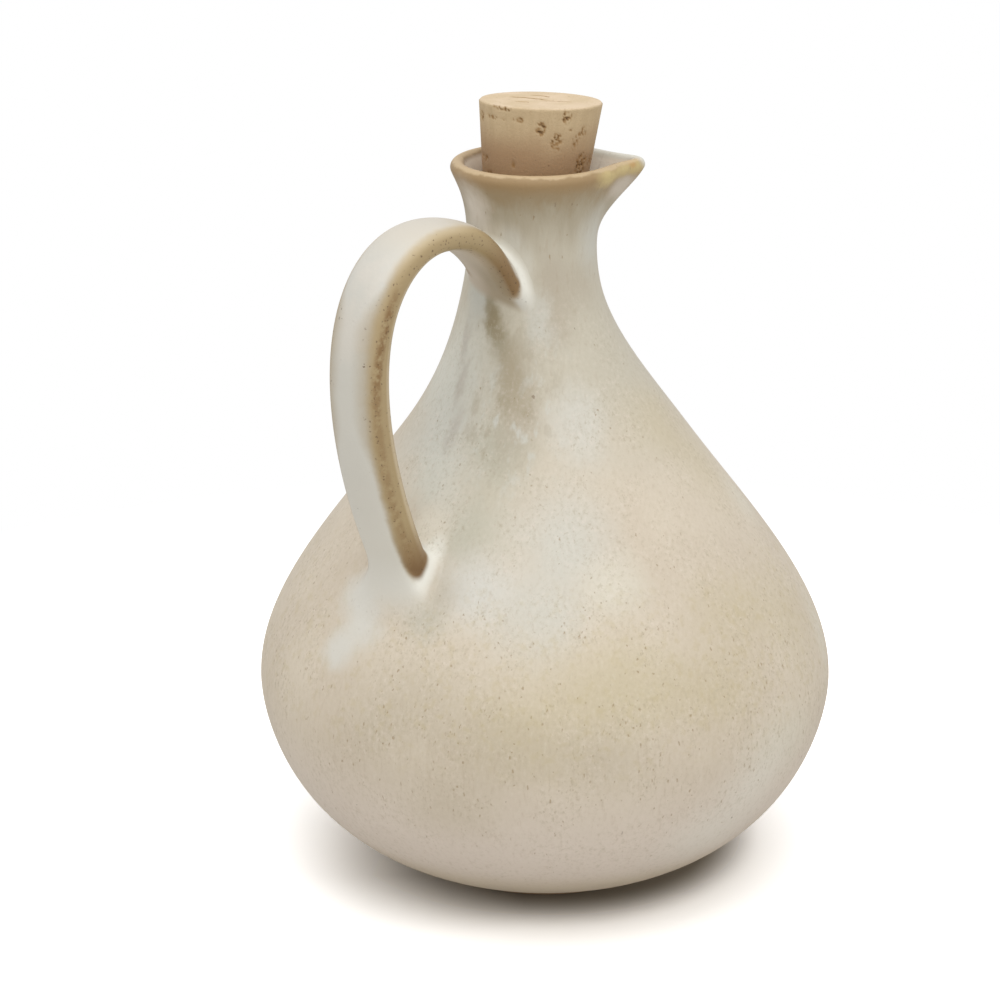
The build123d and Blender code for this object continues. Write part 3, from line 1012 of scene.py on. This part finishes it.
# Pits in the side: angle round the cork, height above the seat, width, height and depth
cork_pits = [
    (-139, 20.0, 1.1, 1.4, 0.50),
    (-122, 17.4, 1.1, 1.8, 0.40),
    (-114, 22.4, 1.0, 1.3, 0.45),
    (-93, 19.2, 1.0, 1.2, 0.40),
    (-101, 17.2, 0.7, 1.5, 0.35),
    (-86, 12.6, 1.7, 2.2, 0.50),
    (-179, 22.9, 2.2, 0.35, 0.45),
    (172, 20.9, 2.4, 0.5, 0.40),
    (-161, 21.2, 1.1, 0.55, 0.40),
    (-108, 19.6, 0.4, 0.4, 0.30),
    (-165, 12.0, 0.5, 0.7, 0.25),
]
scatter = random.Random(5)
for _ in range(26):  # scattered ones round the rest of the cork
    angle = scatter.uniform(-70, 165)
    height_above = scatter.uniform(-6, 22)
    cork_pits.append((angle, height_above, scatter.uniform(0.5, 1.8), scatter.uniform(0.5, 2.0), 0.4))
# Streaks on the top: middle, half length, half width, direction
top_streaks = (
    ((0.5, 3.6), 4.4, 0.75, -72),
    ((1.6, -3.0), 3.2, 0.55, -55),
    ((-4.5, 1.0), 1.6, 0.5, -60),
    ((5.0, 4.0), 2.4, 0.6, -80),
)


def side_pit(angle, level, radius):
    """How deep the bark is pitted at a place on the side, from 0 to 1."""
    deepest = 0.0
    for pit_angle, pit_level, width, tall, depth in cork_pits:
        across = math.radians((angle - pit_angle + 180) % 360 - 180) * radius / mm / width
        up = (level / mm - pit_level) / tall
        if abs(across) < 1.3 and abs(up) < 1.3:
            place = Vector((across * width, up * tall, pit_angle))
            # crumbly inside, and shallow towards its edge
            crumb = noise.noise(place * 1.9) + 0.6 * noise.noise(place * 4.1)
            depth *= min(max(1.35 - math.hypot(across, up), 0.0), 0.6) / 0.6
            deepest = max(deepest, depth * min(max(0.35 + 1.6 * crumb, 0.0), 1.0) * 2)
    return min(deepest, 1.0)


def top_pit(flat):
    """How deep a streak is at a place on the top, from 0 to 1."""
    deepest = 0.0
    for middle, length, width, turn in top_streaks:
        local = flat / mm - Vector(middle)
        turn = math.radians(turn)
        along = (local.x * math.cos(turn) + local.y * math.sin(turn)) / length
        off = -local.x * math.sin(turn) + local.y * math.cos(turn)
        # the streak wavers and bows
        off = (off + 0.35 * noise.noise(Vector((along * 4, 0, length))) + 0.5 * along**2) / width
        if abs(along) < 1:
            deepest = max(deepest, (1 - along**2) * max(1 - off * off, 0.0))
    return deepest


def cork_ring(radius, along, sunk):
    """A ring of the cork, at a distance along its axis from the seat, and its pits."""
    ring, pits = [], []
    for spoke in range(cork_spokes):
        angle = 360 * spoke / cork_spokes
        turn = math.radians(angle)
        flat = radius * Vector((math.cos(turn), math.sin(turn)))
        slant = flat.dot(askew) * rise(along, cork_top - askew_depth, askew_depth)
        if sunk == "side":
            pit = side_pit(angle, along + slant, radius)
            flat *= 1 - pit_depth * pit / radius
            level = along + slant
        else:
            pit = top_pit(flat) if sunk == "top" else 0.0
            level = along + slant - streak_depth * pit
        pits.append(pit)
        ring.append(seat_middle + turn_to_axis @ Vector((*flat, level)))
    return ring, pits


bottom = cork_top - cork_length
cork_profile = [(seat_radius + cork_taper * bottom - cork_edge, bottom, "")]
for index in range(side_levels + 1):
    level = bottom + cork_edge + (cork_length - 2 * cork_edge) * index / side_levels
    cork_profile.append((seat_radius + cork_taper * level, level, "side"))
top_radius = seat_radius + cork_taper * cork_top
cork_profile += [(top_radius - cork_edge, cork_top, "")]
for index in range(1, top_rings):
    cork_profile.append(((top_radius - cork_edge) * (1 - index / top_rings), cork_top, "top"))
cork_rings, pit_rings = zip(*(cork_ring(*row) for row in cork_profile))
poles = [seat_middle + cork_axis * level for level in (bottom, cork_top)]
cork = raise_rings("cork_bung", cork_rings, *poles)
mark_rings(cork, "pore", lambda ring, spoke: pit_rings[ring][spoke])
mark_rings(cork, "end_grain", lambda ring, spoke: float(ring == 0 or ring > side_levels + 1))
mark_rings(cork, "level", lambda ring, spoke: cork_profile[ring][1] / mm)
bpy.ops.object.shade_smooth_by_angle(angle=math.radians(50))

bark, tree = new_material("cork bark")
place = vector_node("SCALE", object_place(tree), Scale=1 / mm)
pore, end_grain, level = (mark_on(tree, name) for name in ("pore", "end_grain", "level"))
cells = noise_at(place, 0.5, 3.0, 0.6)
rays = noise_at(squeezed(place, 0.16), 1.7, 3.0, 0.6)
blush = noise_at(place, 6.0, 2.0)
side_tone = lay_over(colour(190, 167, 131), colour(196, 173, 137), fade(rays, 0.35, 0.65))
# The side is darker towards its bottom, with a blotchy edge
blotchy_level = math_node("ADD", level, times_plus(blush, 5.0, -2.5))
side_tone = lay_over(side_tone, colour(164, 134, 101), fade(blotchy_level, 21.4, 13.0))
top_tone = lay_over(colour(210, 188, 154), colour(220, 198, 168), fade(blush, 0.35, 0.65))
tone = lay_over(side_tone, top_tone, end_grain)
tone = lay_over(tone, colour(150, 118, 84), fade(cells, 0.55, 0.8), 0.35)
flecks = use_group(specks, Place=place, Spacing=1.6, Share=0.22, Width=0.2)["Mask"]
tone = lay_over(tone, colour(120, 88, 58), flecks, 0.5)
tone = lay_over(tone, colour(150, 114, 68), fade(pore, 0.05, 0.45), 0.8)
tone = lay_over(tone, colour(84, 58, 32), fade(pore, 0.45, 0.95), 0.8)
bark_skin = times_plus(flecks, -0.1 * mm, times(cells, 0.12 * mm))
rough = times_plus(cells, 0.15, 0.75)
cork_gloss = 1.45
finish_material(tone, rough, bark_skin, cork_gloss)
cork.data.materials.append(bark)
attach(cork, "cork")
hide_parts("cork_stopper")
